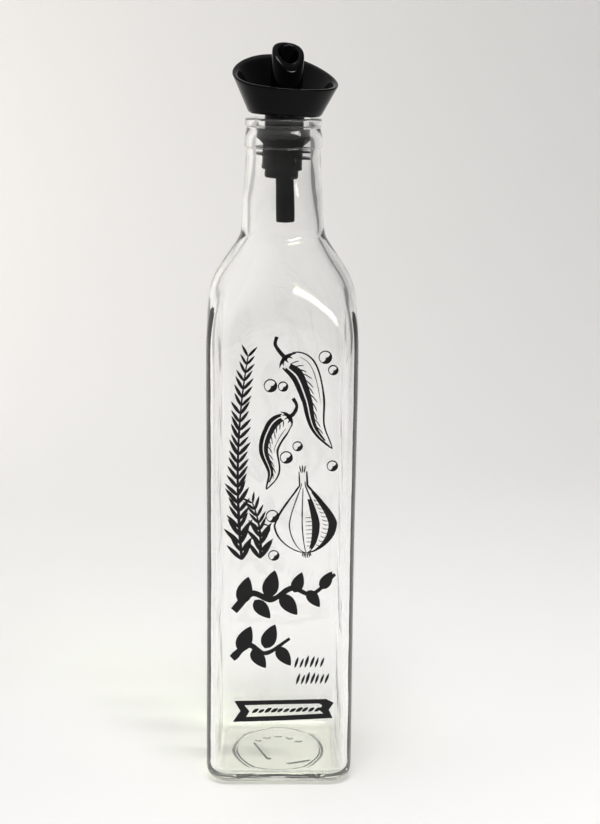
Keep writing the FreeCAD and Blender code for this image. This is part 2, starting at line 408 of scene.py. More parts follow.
def mould_marks(x, y):
    """Low plain relief in the hollow under the foot: two bars and an arc of dots."""
    rise = np.zeros_like(x)
    bar_width, bar_height = 1.3, 0.4
    for (ax, ay), (bx, by) in (((-9.5, 6.5), (-4.0, -9.0)), ((4.5, -13.0), (12.0, -10.5))):
        run_x, run_y = bx - ax, by - ay
        along = np.clip(((x - ax) * run_x + (y - ay) * run_y) / (run_x ** 2 + run_y ** 2), 0, 1)
        rise += mound(np.hypot(x - ax - along * run_x, y - ay - along * run_y), bar_width, bar_height)
    dot_width, dot_height = 1.7, 0.5
    arc_wide, arc_deep, arc_y = 10.5, 11.0, 2.0
    for angle in (35, 62, 89, 116, 143):
        dot_x, dot_y = arc_wide * cos(radians(angle)), arc_deep * sin(radians(angle))
        rise += mound(np.hypot(x - dot_x, y - arc_y - dot_y), dot_width, dot_height)
    return rise


def hollow_edge():
    """The oval edge of the hollow under the foot: its distance from the axis in each direction."""
    return 1 / np.sqrt((AROUND[:, 0] / foot_oval[0]) ** 2 + (AROUND[:, 1] / foot_oval[1]) ** 2)


def hollow_rings():
    """The oval hollow under the foot, from its middle out to the foot's flat."""
    oval = hollow_edge()
    rings = []
    for share in spread(0.02, 0.93, 30):
        radius = oval * share
        dome = pushup_rise + pushup_dome * (1 - share ** 2)
        relief = mould_marks(radius * AROUND[:, 0], radius * AROUND[:, 1])
        rings.append(flat_ring(radius, dome - relief))
    # a groove just inside the oval, then its rounded edge down to the foot
    edge = ((0.9, 1.45), (0.45, 1.2), (0.15, 0.8), (0.0, 0.4), (-0.25, 0.1), (-pushup_roll, 0.0))
    return rings + [flat_ring(oval - inset, height) for inset, height in edge]


def quarter_turn(steps):
    """Angles of a quarter turn, first and last included."""
    return [pi / 2 * step / steps for step in range(steps + 1)]


def foot_rings():
    """The flat of the foot and the rounded heel."""
    edge = square_reach(ANGLES, body_half - heel, body_corner - heel)
    inner = hollow_edge() + pushup_roll
    rings = [flat_ring(inner + (edge - inner) * share, 0.0) for share in (0.3, 0.65, 0.9)]
    for bend in quarter_turn(8):
        drop = heel * (1 - sin(bend))
        reach = square_reach(ANGLES, body_half - drop, body_corner - drop)
        rings.append(flat_ring(reach, heel * (1 - cos(bend))))
    return rings


def outside_rings():
    """Walls, shoulder and neck, from the heel to just under the collar."""
    neck_low = cone_z + 6       # from here up the neck is straight and needs few rings
    heights = spread(heel, wall_z, 26) + spread(wall_z, neck_low, 46) + spread(neck_low, collar_z - 1, 9)
    return [flat_ring(glass_surface(ANGLES, z), z) for z in heights]


def finish_rings():
    """Collar, groove, lip and the straight bore."""
    groove_z = collar_top_z + groove_height
    lip_mid = groove_z + lip_widest * lip_height
    path = softened([           # radius, height and rounding of each corner
        (neck_top_r + neck_slope * neck_run, collar_z - neck_run, 0),
        (neck_top_r, collar_z, 0.35),
        (collar_r, collar_z + 0.05, 0.55),
        (collar_r, collar_z + collar_straight, 1.6),
        (collar_r - 0.3, collar_top_z - 1.6, 1.2),
        (groove_r, collar_top_z, 0.5),
        (groove_r, groove_z, 0.45),
        (lip_r - 0.05, groove_z + 0.2, 0.9),
        (lip_r, lip_mid, 0.7),
        (lip_r - 0.15, glass_height - 0.15, 1.2),
        (lip_r - 1.9, glass_height, 0.5),
        (bore_r, glass_height, 1.0),
        (bore_r, glass_height - 8, 0),
        (bore_r, bore_end_z + bore_margin, 0),
    ], steps=5)
    return [flat_ring(r, z) for r, z in path]


def inside_rings():
    """The inside of neck, shoulder and walls, down to the rounded inside heel."""
    half = body_half - body_wall
    corner = body_corner - body_wall
    floor_z = base_thick + inside_heel
    bore_z = bore_end_z + bore_margin
    neck_low = cone_z + 4
    heights = spread(bore_z, neck_low, 16) + spread(neck_low, wall_z, 46) + spread(wall_z, floor_z, 26)
    rings = []
    for z in heights:
        reach = square_reach(ANGLES, half - waist(z), corner)
        radius = drawn_in(reach, inner_throat(z))
        below_bore = min(max((bore_z - z) / bore_ease, 0), 1)
        ease = below_bore * below_bore * (3 - 2 * below_bore)
        radius = bore_r * (1 - ease) + radius * ease
        # the unevenness grows below the bore and dies away over the lowest 20
        fade = below_bore * min(max((z - floor_z) / 20, 0), 1)
        uneven = ripple(ANGLES, z, 5, blown_ripple, blown_ripple_wave) * fade
        rings.append(flat_ring(radius + uneven, z))
    return rings


def floor_rings():
    """The rounded inside heel and the slightly domed floor."""
    rings = []
    half = body_half - body_wall
    corner = body_corner - body_wall
    for bend in quarter_turn(8)[1:]:
        draw = inside_heel * (1 - cos(bend))
        reach = square_reach(ANGLES, half - draw, corner - draw)
        rings.append(flat_ring(reach, base_thick + inside_heel * (1 - sin(bend))))
    edge = square_reach(ANGLES, half - inside_heel, corner - inside_heel)
    for share in spread(1.0, 0.03, 18):
        dome = base_thick + floor_dome * (1 - share ** 2)
        # the waves take the way out from the middle, 40 to the edge, as their height
        uneven = ripple(ANGLES, 40 * share, 8, floor_ripple, floor_ripple_wave) * share
        rings.append(flat_ring(edge * share, dome + uneven))
    return rings


def glass_mesh():
    """The whole glass as one closed skin, from under the foot, over the lip, to the inside floor."""
    rings = hollow_rings() + foot_rings() + outside_rings() + finish_rings() + inside_rings() + floor_rings()
    middle_under = (0, 0, pushup_rise + pushup_dome)
    middle_floor = (0, 0, base_thick + floor_dome)
    return skin(rings, poles=[middle_under, middle_floor])


def soda_lime_glass():
    """Soda-lime container glass, blown in a mould: clear, faintly green where it is thick, with a painted
    glow inside it.
    """
    material, tree, output = new_material("soda_lime_glass")
    coords = add_node(tree, "ShaderNodeTexCoord")
    # fire-polished skin: slow waves about 9 mm long
    waves = add_node(tree, "ShaderNodeTexNoise",
                     {"Vector": coords.outputs["Object"], "Scale": 1 / (9 * MM), "Detail": 1.0})
    bump = add_node(tree, "ShaderNodeBump",
                    {"Strength": 0.3, "Distance": 0.3 * MM, "Height": waves.outputs["Fac"]})
    glass = add_node(tree, "ShaderNodeBsdfPrincipled",
                     {"Base Color": hex_colour("#FFFFFF"), "Roughness": 0.0, "IOR": 1.52,
                      "Transmission Weight": 1.0, "Normal": bump.outputs["Normal"]})
    tint = add_node(tree, "ShaderNodeVolumeAbsorption",
                    {"Color": hex_colour("#F5F7EE"), "Density": 10.0})
    tree.links.new(glass.outputs["BSDF"], output.inputs["Surface"])
    # painted glow: the glass gives off light of its own, standing in for daylight that a thick edge pipes
    # along inside the wall, too many bounces deep to be followed
    painted_edge_glow = add_node(tree, "ShaderNodeVolumePrincipled",
                     {"Density": 0.0, "Density Attribute": "", "Emission Strength": 1.6,
                      "Emission Color": hex_colour("#FFFEF6")})
    both = add_node(tree, "ShaderNodeAddShader",
                    {0: tint.outputs["Volume"], 1: painted_edge_glow.outputs["Volume"]})
    tree.links.new(both.outputs["Shader"], output.inputs["Volume"])
    return material


# ================================================================ the print

def on_panel(flat, height):
    """Print positions (right, up) laid on the front panel, standing off the glass by height."""
    turn = radians(print_tilt)
    up = flat[:, 1] - print_middle
    x = flat[:, 0] * cos(turn) - up * sin(turn)
    z = print_middle + flat[:, 0] * sin(turn) + up * cos(turn)
    y = np.full(len(x), -body_half)
    for _ in range(4):
        y = y * glass_surface(np.arctan2(y, x), z) / np.hypot(x, y)
    return np.column_stack([x, y - height, z])


def smooth_path(points, per_span=10):
    """A smooth path through given points."""
    p = np.asarray(points, dtype=float)
    p = np.vstack([2 * p[0] - p[1], p, 2 * p[-1] - p[-2]])
    path = []
    for i in range(1, len(p) - 2):
        for step in range(per_span):
            t = step / per_span
            path.append(0.5 * (2 * p[i] + (p[i + 1] - p[i - 1]) * t
                               + (2 * p[i - 1] - 5 * p[i] + 4 * p[i + 1] - p[i + 2]) * t ** 2
                               + (3 * p[i] - p[i - 1] - 3 * p[i + 1] + p[i + 2]) * t ** 3))
    path.append(p[-2])
    return np.array(path)


def sideways(path):
    """Unit steps to the left of a path, at each of its points."""
    run = np.gradient(path, axis=0)
    run /= np.maximum(np.hypot(run[:, 0], run[:, 1]), 1e-9)[:, None]
    return np.column_stack([-run[:, 1], run[:, 0]])


def shares(path):
    """How far along a path each of its points is, from 0 to 1."""
    return np.linspace(0, 1, len(path))


def beside(path, profile, side, first=0.0, last=1.0):
    """The line at a share of the profile beside a path, between two shares of its length."""
    t = shares(path)
    line = path + sideways(path) * (profile(t) * side)[:, None]
    at = np.linspace(first, last, max(6, int(len(path) * (last - first))))
    return np.column_stack([np.interp(at, t, line[:, 0]), np.interp(at, t, line[:, 1])])


def shade(path, profile, near, far, first, last):
    """A black band between two shares of the profile, from one share of the path to another."""
    return beside(path, profile, near, first, last), beside(path, profile, far, first, last)


def pen(width, dry=0.22):
    """A pen line's width along its length: pressed in the middle, lifted at its ends."""
    return lambda t: width * (dry + (1 - dry) * np.sin(pi * t) ** 0.55)


def stroke(path, width, seed=1, shake=0.16):
    """The two edges of an inked line; its width wanders as a hand's does."""
    t = shares(path)
    dice = np.random.default_rng(seed)
    wander = 1 + shake * np.interp(t, np.linspace(0, 1, 14), dice.uniform(-1, 1, 14))
    side = sideways(path) * (width(t) * wander / 2)[:, None]
    return path + side, path - side


def slab(strips):
    """A flat mesh in millimetres: each strip between two edges becomes a thin closed slab."""
    points = []
    faces = []
    for left, right in strips:
        x, y = np.vstack([left, right[::-1]]).T
        area = np.sum(x * np.roll(y, -1) - y * np.roll(x, -1))
        if area > 0:
            left, right = right, left
        n = len(left)
        base = len(points)
        for height in (0, ink_thick):
            points += [(x, y, height) for x, y in left]
            points += [(x, y, height) for x, y in right]
        low_l, low_r, top_l, top_r = (base + n * k for k in range(4))
        for i in range(n - 1):
            j = i + 1
            faces.append((top_r + i, top_r + j, top_l + j, top_l + i))
            faces.append((low_l + i, low_l + j, low_r + j, low_r + i))
            faces.append((low_l + i, top_l + i, top_l + j, low_l + j))
            faces.append((low_r + i, low_r + j, top_r + j, top_r + i))
        end = n - 1
        faces.append((low_r, top_r, top_l, low_l))
        faces.append((low_r + end, low_l + end, top_l + end, top_r + end))
    mesh = bpy.data.meshes.new("slab")
    mesh.from_pydata(points, [], faces)
    return mesh


def marks_tree(material):
    """A node tree that repeats one mark along a curved path."""
    tree = bpy.data.node_groups.new("marks_along_path", "GeometryNodeTree")
    sockets = (("Mark", "Geometry"), ("Start", "Vector"), ("Bend", "Vector"), ("End", "Vector"),
               ("Count", "Int"), ("Angle", "Float"), ("Alternate", "Float"), ("Shrink", "Float"),
               ("Jitter", "Float"))
    for name, kind in sockets:
        tree.interface.new_socket(name, in_out="INPUT", socket_type="NodeSocket" + kind)
    tree.interface.new_socket("Marks", in_out="OUTPUT", socket_type="NodeSocketGeometry")
    given = add_node(tree, "NodeGroupInput").outputs
    path = add_node(tree, "GeometryNodeCurveQuadraticBezier",
                    {"Resolution": 48, "Start": given["Start"], "Middle": given["Bend"], "End": given["End"]})
    even = add_node(tree, "GeometryNodeResampleCurve",
                    {"Curve": path.outputs["Curve"], "Count": given["Count"]})
    index = add_node(tree, "GeometryNodeInputIndex")
    # each second mark leans to the other side where Alternate is 1
    odd = add_node(tree, "ShaderNodeMath", {0: index.outputs["Index"], 1: 2.0}, operation="MODULO")
    swung = add_node(tree, "ShaderNodeMath", {0: odd.outputs[0], 1: given["Alternate"]}, operation="MULTIPLY")
    sign = add_node(tree, "ShaderNodeMath", {0: swung.outputs[0], 1: -2.0, 2: 1.0}, operation="MULTIPLY_ADD")
    backwards = add_node(tree, "ShaderNodeMath", {0: given["Jitter"], 1: -1.0}, operation="MULTIPLY")
    loose = add_node(tree, "FunctionNodeRandomValue",
                     {2: backwards.outputs[0], 3: given["Jitter"], "Seed": 4}, data_type="FLOAT")
    turn = add_node(tree, "ShaderNodeMath",
                    {0: given["Angle"], 1: sign.outputs[0], 2: loose.outputs[1]}, operation="MULTIPLY_ADD")
    spin = add_node(tree, "ShaderNodeCombineXYZ", {"Z": turn.outputs[0]})
    tangent = add_node(tree, "GeometryNodeInputTangent")
    ahead = add_node(tree, "FunctionNodeAlignRotationToVector",
                     {"Vector": tangent.outputs["Tangent"]}, axis="X", pivot_axis="Z")
    by = add_node(tree, "FunctionNodeEulerToRotation", {"Euler": spin.outputs["Vector"]})
    turned = add_node(tree, "FunctionNodeRotateRotation",
                      {"Rotation": ahead.outputs["Rotation"], "Rotate By": by.outputs["Rotation"]},
                      rotation_space="LOCAL")
    # the marks get smaller along the path, and no two are quite the same size
    place = add_node(tree, "GeometryNodeSplineParameter")
    lost = add_node(tree, "ShaderNodeMath",
                    {0: place.outputs["Factor"], 1: given["Shrink"]}, operation="MULTIPLY")
    left = add_node(tree, "ShaderNodeMath", {0: 1.0, 1: lost.outputs[0]}, operation="SUBTRACT")
    uneven = add_node(tree, "FunctionNodeRandomValue",
                      {2: smallest_mark, 3: largest_mark, "Seed": 9}, data_type="FLOAT")
    size = add_node(tree, "ShaderNodeMath", {0: left.outputs[0], 1: uneven.outputs[1]}, operation="MULTIPLY")
    copies = add_node(tree, "GeometryNodeInstanceOnPoints",
                      {"Points": even.outputs["Curve"], "Instance": given["Mark"],
                       "Rotation": turned.outputs["Rotation"], "Scale": size.outputs[0]})
    real = add_node(tree, "GeometryNodeRealizeInstances", {"Geometry": copies.outputs["Instances"]})
    inked = add_node(tree, "GeometryNodeSetMaterial",
                     {"Geometry": real.outputs["Geometry"], "Material": material})
    add_node(tree, "NodeGroupOutput", {"Marks": inked.outputs["Geometry"]})
    return tree


def marks(tree, mark, start, bend, end, count, angle=0.0, alternate=False, shrink=0.0, jitter=4.0):
    """A flat mesh of one mark repeated along a path; angles are degrees from the path."""
    carrier = bpy.data.objects.new("marks", mark)
    bpy.context.collection.objects.link(carrier)
    modifier = carrier.modifiers.new("marks", "NODES")
    modifier.node_group = tree
    values = {"Start": (*start, 0.0), "Bend": (*bend, 0.0), "End": (*end, 0.0), "Count": count,
              "Angle": radians(angle), "Alternate": float(alternate), "Shrink": shrink,
              "Jitter": radians(jitter)}
    for socket in tree.interface.items_tree:
        if socket.in_out == "INPUT" and socket.name in values:
            modifier[socket.identifier] = values[socket.name]
    evaluated = carrier.evaluated_get(bpy.context.evaluated_depsgraph_get())
    flat = bpy.data.meshes.new_from_object(evaluated)
    carrier.modifiers.remove(modifier)
    bpy.data.objects.remove(carrier)
    return flat


def leaf_mark(length, width, blunt=0.8):
    """A solid leaf-shaped dab that starts at the origin and points along +X."""
    path = np.column_stack([np.linspace(0, length, 12), np.zeros(12)])
    return slab([stroke(path, lambda t: width * (0.04 + np.sin(pi * t ** blunt) ** 0.8), shake=0.0)])


def printed(name, flats, ink):
    """Flat meshes joined and laid on the glass as one piece of the print."""
    joined = bmesh.new()
    for flat in flats:
        joined.from_mesh(flat)
    mesh = bpy.data.meshes.new(name)
    joined.to_mesh(mesh)
    joined.free()
    points = np.empty(len(mesh.vertices) * 3)
    mesh.vertices.foreach_get("co", points)
    points = points.reshape(-1, 3)
    placed = on_panel(points[:, :2], ink_lift + points[:, 2]) * MM
    mesh.vertices.foreach_set("co", placed.ravel())
    mesh.update()
    finish_piece(name, mesh, ink)


def chilli(spine, width, seed):
    """A chilli pod without its cap: two outlines, a dark side with a slit of light, and hatching."""
    path = smooth_path(spine, 14)

    def profile(t):
        shoulder = 0.6 + 0.4 * np.sin(np.minimum(t / 0.25, 1) * pi / 2)     # widest a quarter along
        return width / 2 * shoulder * (1 - t ** 1.7) ** 0.85

    strips = [stroke(beside(path, profile, 1), pen(0.75, 0.5), seed),
              stroke(beside(path, profile, -1), pen(1.0, 0.5), seed + 1),
              shade(path, profile, -0.98, -0.72, 0.03, 0.97),
              shade(path, profile, -0.6, -0.12, 0.06, 0.9)]
    near = beside(path, profile, -0.2)
    for step in range(11):
        far = beside(path, profile, 0.34 - 0.1 * (step % 3))
        i = int((0.06 + 0.07 * step) * (len(near) - 1))
        j = min(i + 5, len(far) - 1)
        hatch = smooth_path([near[i], (near[i] + far[j]) / 2 + (0.1, 0.1), far[j]], 5)
        strips.append(stroke(hatch, pen(0.42), seed + step))
    strips.append(stroke(beside(path, profile, 0.62, 0.12, 0.55), pen(0.3), seed + 5))
    return strips


def chilli_cap(at, stalk, width, seed):
    """The toothed cap on a pod's shoulder and its bent stalk."""
    at = np.array(at, dtype=float)
    stalk = [np.array(point, dtype=float) for point in stalk]
    back = stalk[0] - at
    back /= np.hypot(*back)
    across = np.array((-back[1], back[0]))
    spine = smooth_path([at - back * 0.4, *stalk])
    strips = [stroke(spine, lambda t: 1.7 - 0.7 * t + 0.5 * t ** 6, seed, 0.1)]
    for turn in (-1.0, -0.45, 0.1, 0.6, 1.0):
        tip = at + across * turn * width * 0.48 - back * (1.9 - 0.9 * abs(turn))
        tooth = smooth_path([at + back * 0.8, at + across * turn * width * 0.3, tip], 6)
        strips.append(stroke(tooth, lambda t: 1.5 * (1 - t) + 0.15, seed))
    return strips


def garlic(foot, top, width, seed):
    """A garlic bulb: round outline, cloves, dark sides, a root tuft and a cut neck."""
    foot, top = np.array(foot), np.array(top)
    path = smooth_path([foot, (foot + top) / 2, top], 30)
    neck = 1.5

    def profile(t):
        bulb = width / 2 * np.sin(pi * np.clip(t / 0.86, 0, 1) ** 0.82) ** 0.72
        drawn = bulb * (1 - 0.35 * np.clip((t - 0.35) / 0.4, 0, 1))
        return np.maximum(drawn, neck * np.clip(t / 0.06, 0.2, 1))

    strips = []
    outlines = ((1, 0.8, 1), (0.52, 0.5, 0.86), (0.1, 0.5, 0.8), (-0.45, 0.7, 0.88), (-1, 1.1, 1))
    for side, weight, last in outlines:
        strips.append(stroke(beside(path, profile, side, 0, last), pen(weight, 0.45), seed))
        seed += 1
    strips.append(shade(path, profile, -0.98, -0.76, 0.04, 0.74))
    strips.append(shade(path, profile, -0.44, -0.22, 0.05, 0.66))
    for step in range(12):
        at = int((0.09 + 0.05 * step) * 60)
        cut = [beside(path, profile, side)[at] for side in (-0.78, -0.66, -0.56)]
        cut[2] = cut[2] + (0, 0.7)
        strips.append(stroke(smooth_path(cut, 4), pen(0.3), seed + step))
        if step < 8:
            cut = [beside(path, profile, side)[at] for side in (-0.25, -0.12, 0.0)]
            strips.append(stroke(smooth_path(cut, 4), pen(0.28), seed + step))
    # the root tuft below and the frayed neck above: short lines that fan out
    tufts = [(foot, -90, turn, (turn * 0.025, 0.2), 2.2, 0.5) for turn in (-50, -28, -8, 14, 36, 55)]
    tufts += [(top, 90, turn, (-turn * 0.02, -0.6), 2.6, 0.55) for turn in (-22, 4, 30)]
    for end, heading, turn, start, length, weight in tufts:
        angle = radians(heading + turn)
        tip = end + np.array((cos(angle), sin(angle))) * length
        strips.append(stroke(smooth_path([end + start, tip], 6), pen(weight), seed))
    return strips


def peppercorn(x, y, radius, seed):
    """A small round corn, dark on its lower right."""
    def arc(turn, reach):
        return np.column_stack([x + reach * np.cos(turn), y + reach * np.sin(turn)])

    ring = arc(np.linspace(0, 2 * pi, 33) + 0.6, radius)
    dark = np.linspace(-2.2, 0.7, 14)
    bulge = radius * (1 - 0.95 * np.sin(np.linspace(0, pi, 14)))
    return [stroke(ring, lambda t: 0.42 + 0.1 * np.sin(9 * t), seed), (arc(dark, radius), arc(dark, bulge))]


def ribbon_border():
    """A swallow-tailed ribbon: a heavy border between two outlines."""
    outer = [(-17.0, 32.6), (-19.4, 36.9), (0, 37.0), (17.4, 37.1), (20.4, 35.4), (18.4, 32.5), (19.9, 28.9),
             (0, 28.2), (-20.2, 27.9), (-17.0, 32.6)]
    inner = [(-13.4, 32.4), (-15.4, 35.0), (0, 35.2), (14.6, 35.2), (15.8, 34.4), (14.6, 32.4), (16.2, 30.9),
             (0, 30.3), (-14.7, 30.0), (-13.4, 32.4)]
    strips = []
    t = np.linspace(0, 1, 9)[:, None]
    for i in range(len(outer) - 1):
        ends = [(np.array(line[i]), np.array(line[i + 1])) for line in (outer, inner)]
        strips.append(tuple(first + (last - first) * t for first, last in ends))
    return strips


def print_front():
    """The black print: kitchen plants in pen line above, brushed vines, rows of ticks and a ribbon below."""
    ink = fired_black_enamel()
    tree = marks_tree(ink)

    pods = chilli([(3.0, 175.5), (9.0, 171.5), (12.6, 161.0), (14.4, 149.5), (20.0, 140.5)], 11.5, 20)
    pods += chilli_cap((2.5, 176.0), [(0.2, 178.6), (-1.6, 181.6), (-1.0, 184.6)], 9.0, 24)
    pods += chilli([(2.6, 152.5), (-1.6, 148.0), (-4.4, 140.5), (-2.6, 131.5), (-5.6, 124.5)], 9.2, 60)
    pods += chilli_cap((3.1, 153.0), [(5.2, 154.6), (6.4, 157.6), (5.0, 160.6)], 7.6, 64)
    printed("print_chillies", [slab(pods)], ink)

    bulb = garlic((9.8, 98.5), (8.6, 131.5), 24.0, 80)
    corns = ((-3.4, 113.6, 2.4), (-6.4, 108.4, 1.9), (-3.0, 97.6, 2.0), (2.2, 137.2, 2.3),
             (6.6, 141.6, 1.8), (20.0, 133.6, 2.0), (-3.6, 165.6, 2.4), (1.2, 165.2, 1.8),
             (17.4, 176.4, 2.4), (20.4, 171.4, 1.8))
    for seed, (x, y, radius) in enumerate(corns, start=90):
        bulb += peppercorn(x, y, radius, seed)
    printed("print_garlic", [slab(bulb)], ink)

    needle = leaf_mark(8.6, 1.75)
    sprigs = []
    for start, bend, end, count in (((-15.5, 96.0), (-19.0, 140.0), (-12.0, 177.0), 26),
                                    ((-8.5, 96.5), (-7.0, 108.0), (-11.0, 119.0), 9)):
        t = np.linspace(0, 1, 30)[:, None]
        stem = bent(np.array(start), np.array(bend), np.array(end), t)
        sprigs.append(slab([stroke(stem, lambda t: 1.3 - 0.8 * t, 3)]))
        for angle in (36, -34):
            sprigs.append(marks(tree, needle, start, bend, end, count, angle, shrink=0.4, jitter=9))
    printed("print_rosemary", sprigs, ink)

    dab = leaf_mark(11.5, 6.2, 0.75)
    upper = smooth_path([(-19.0, 75.0), (-12, 82.0), (-4, 79.5), (4, 84.0), (12, 81.5), (21.0, 89.5)])
    lower = smooth_path([(-20.0, 55.0), (-13.5, 60.5), (-6.5, 57.0), (3.0, 63.0)])
    vines = [slab([stroke(upper, lambda t: 3.0 - 1.6 * t, 7), stroke(lower, lambda t: 3.0 - 1.7 * t, 8)])]
    vines.append(marks(tree, dab, (-16.0, 78.0), (0, 82.0), (15.5, 83.5), 7, 58, True, 0.22, 8))
    vines.append(marks(tree, dab, (-17.0, 58.0), (-9, 59.0), (-2.0, 59.5), 4, 56, True, 0.2, 8))
    printed("print_brushed_vines", vines, ink)

    tick = leaf_mark(5.2, 1.05, 1.0)
    rows = [marks(tree, tick, (4.8, 50.4), (10.0, 50.5), (15.0, 50.6), 6, 70, False, 0.0, 3),
            marks(tree, tick, (5.4, 43.4), (11.0, 43.5), (16.8, 43.6), 7, 70, False, 0.0, 3)]
    printed("print_rows_of_ticks", rows, ink)

    seed_mark = leaf_mark(3.3, 1.35, 1.0)
    band = [slab(ribbon_border()),
            marks(tree, seed_mark, (-12.4, 31.7), (0, 31.9), (12.6, 31.9), 11, 30, False, 0.0, 4)]
    printed("print_ribbon", band, ink)


def fired_black_enamel():
    """Ceramic enamel, screen printed and fired on: opaque black, smooth, less glossy than the glass."""
    material, tree, output = new_material("fired_black_enamel")
    coords = add_node(tree, "ShaderNodeTexCoord")
    # screen mesh and firing leave a fine orange peel, about 0.4 mm
    peel = add_node(tree, "ShaderNodeTexNoise",
                    {"Vector": coords.outputs["Object"], "Scale": 1 / (0.4 * MM), "Detail": 2.0})
    # thin and thick patches of ink, about 3 mm
    patch = add_node(tree, "ShaderNodeTexNoise",
                     {"Vector": coords.outputs["Object"], "Scale": 1 / (3 * MM), "Detail": 2.0})
    tone = add_node(tree, "ShaderNodeMix",
                    {"Factor": patch.outputs["Fac"], "A": hex_colour("#040405"), "B": hex_colour("#0C0C0E")},
                    data_type="RGBA")
    bump = add_node(tree, "ShaderNodeBump",
                    {"Strength": 0.2, "Distance": 0.02 * MM, "Height": peel.outputs["Fac"]})
    enamel = add_node(tree, "ShaderNodeBsdfPrincipled",
                      {"Base Color": tone.outputs["Result"], "Roughness": 0.28, "IOR": 1.5,
                       "Specular IOR Level": 0.25, "Normal": bump.outputs["Normal"]})
    tree.links.new(enamel.outputs["BSDF"], output.inputs["Surface"])
    return material


# ================================================================ pourer

HEAD_AROUND = 128
HEAD_ANGLES = np.arange(HEAD_AROUND) * 2 * pi / HEAD_AROUND


def dish(front_y, front, back_y, back, mid):
    """Height of a dished cut as a function of y: a circle through front, middle and back."""
    a = 2 * np.array([(0 - front_y, mid - front), (back_y - front_y, back - front)])
    b = np.array([mid ** 2 - front_y ** 2 - front ** 2,
                  back_y ** 2 + back ** 2 - front_y ** 2 - front ** 2])
    centre_y, centre_h = np.linalg.solve(a, b)
    radius = hypot(front_y - centre_y, front - centre_h)
    side = -1 if centre_h > mid else 1
    return lambda y: centre_h + side * np.sqrt(np.maximum(radius ** 2 - (y - centre_y) ** 2, 0))


def cut_heights(radius_at, height_at):
    """Where a wall of revolution meets a dished cut, in each direction."""
    height = np.full(HEAD_AROUND, height_at(0.0))
    for _ in range(40):
        height = height_at(radius_at(height) * np.sin(HEAD_ANGLES))
    return height


def round_ring(radius, height):
    """A ring of points round an upright axis; both may vary round it."""
    radius = np.broadcast_to(radius, HEAD_ANGLES.shape)
    height = np.broadcast_to(height, HEAD_ANGLES.shape)
    return np.column_stack([radius * np.cos(HEAD_ANGLES), radius * np.sin(HEAD_ANGLES), height])


def rounded_edge(outer, inner, up_wall, rounding, steps=5):
    """Rings over a wall's cut edge; its two corners are (radii, heights), and up_wall is a unit step."""
    outer, inner = np.array(outer), np.array(inner)
    down = np.reshape(up_wall, (2, 1)) * rounding
    over = (inner - outer) / np.hypot(*(inner - outer)) * rounding
    rings = []
    for first, corner, last in ((outer - down, outer, outer + over), (inner - over, inner, inner - down)):
        rings += [round_ring(*bent(first, corner, last, step / steps)) for step in range(steps + 1)]
    return rings


def pourer_mesh():
    """Cup, spout and stem as one closed skin round the bore; heights are from the cup's underside."""
    lean_out = radians(cup_flare)
    bore = spout_r - spout_wall
    stem_low = plug_z - cup_z
    rim_margin = rim_round * 1.2
    fillet_top = cup_floor + spout_foot

    def outside(height):
        return cup_foot_r + tan(lean_out) * height

    def inside(height):
        return cup_foot_r - cup_wall / cos(lean_out) + tan(lean_out) * height

    rim_cut = dish(-outside(cup_low), cup_low, outside(cup_high), cup_high, cup_mid)
    outer_rim = cut_heights(outside, rim_cut)
    inner_rim = cut_heights(inside, rim_cut)
    mouth_cut = dish(-spout_r, spout_low, spout_r, spout_high, spout_mid)
    outer_lip = mouth_cut(spout_r * np.sin(HEAD_ANGLES))
    inner_lip = mouth_cut(bore * np.sin(HEAD_ANGLES))

    # the stem's end, the stem and the cup's underside, then up its outside and over the rim
    rings = [round_ring(r, h) for r, h in softened([
        (bore + 0.3, stem_low, 0), (stem_r, stem_low, 0.3), (stem_r, 0, 0.9), (cup_foot_r, 0, 1.3),
        (outside(cup_skirt), cup_skirt, 0)], steps=6)]
    for share in spread(0, 1, 10)[:-1]:
        height = cup_skirt + (outer_rim - rim_margin - cup_skirt) * share
        rings.append(round_ring(outside(height), height))
    rings += rounded_edge((outside(outer_rim), outer_rim), (inside(inner_rim), inner_rim),
                          (sin(lean_out), cos(lean_out)), rim_round)
    # down the inside of the cup, over its floor and round the fillet at the spout's foot
    for share in spread(0, 1, 9):
        height = inner_rim - rim_margin + (cup_floor + 1.6 - inner_rim + rim_margin) * share
        rings.append(round_ring(inside(height), height))
    rings += [round_ring(r, h) for r, h in softened([
        (inside(cup_floor + 1.5), cup_floor + 1.5, 0), (inside(cup_floor), cup_floor, 1.4),
        (spout_r, cup_floor, 1.4), (spout_r, fillet_top, 0)], steps=6)[1:]]
    # up the spout, over its mouth and down its bore
    for share in spread(0, 1, 7)[:-1]:
        rings.append(round_ring(spout_r, fillet_top + (outer_lip - mouth_margin - fillet_top) * share))
    rings += rounded_edge((np.full(HEAD_AROUND, spout_r), outer_lip), (np.full(HEAD_AROUND, bore), inner_lip),
                          (0, 1), mouth_round)
    for share in spread(0, 1, 8)[:-1]:
        height = inner_lip - mouth_margin + (stem_low + 0.4 - inner_lip + mouth_margin) * share
        rings.append(round_ring(bore, height))
    rings.append(round_ring(bore, stem_low + 0.3))
    rings.append(round_ring(bore + 0.1, stem_low + 0.05))
    rings = np.array(rings)
    rings[:, :, 2] += cup_z
    turn = np.array(Matrix.Rotation(radians(head_turn), 3, "Z"))
    return skin(tipped(rings @ turn.T, lean, lean_z))


